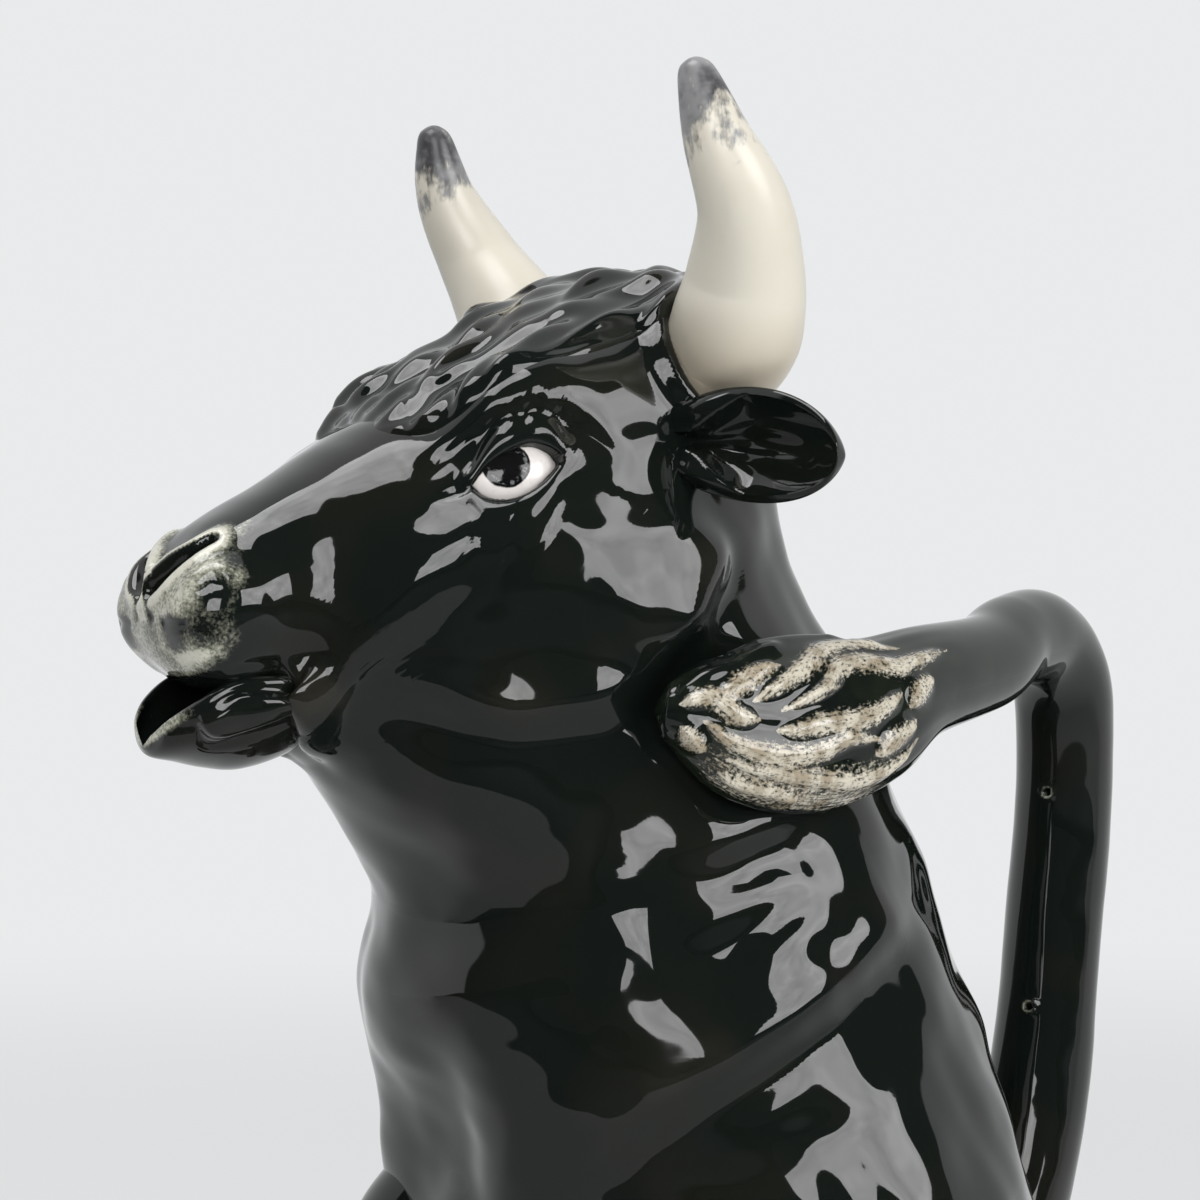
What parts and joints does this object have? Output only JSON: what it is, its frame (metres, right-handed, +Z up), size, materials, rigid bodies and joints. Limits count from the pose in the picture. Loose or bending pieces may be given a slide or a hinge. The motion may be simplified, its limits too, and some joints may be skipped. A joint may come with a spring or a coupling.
{
  "type": "bull jug",
  "caption": "Hollow glazed jug shaped as a seated bull: the open mouth is the spout, the tail is the handle and the nape has the fill opening.",
  "frame": {"origin": "middle of the flat foot, on the surface that the jug stands on", "axes": "+X towards the muzzle, the way the jug pours; +Y towards the bull's left; +Z up"},
  "size_m": [0.1936, 0.1214, 0.2419],
  "materials": {
    "black_glaze": "gloss",
    "ivory_glaze": "satin gloss",
    "eye_glaze": "gloss",
    "brushed_glaze": "gloss, brushed in cream over black"
  },
  "bodies": {
    "root": {"body_shell": "black_glaze", "head_shell": "black_glaze", "lower_jaw": "black_glaze", "forelock": "black_glaze", "left_horn": "ivory_glaze", "right_horn": "ivory_glaze", "left_ear": "black_glaze", "right_ear": "black_glaze", "left_eye": "eye_glaze", "right_eye": "eye_glaze", "tail_handle": "black_glaze", "tail_tuft": "brushed_glaze", "left_foreleg": "black_glaze", "right_foreleg": "black_glaze", "left_hind_hoof": "black_glaze", "right_hind_hoof": "black_glaze"}
  },
  "joints": []
}
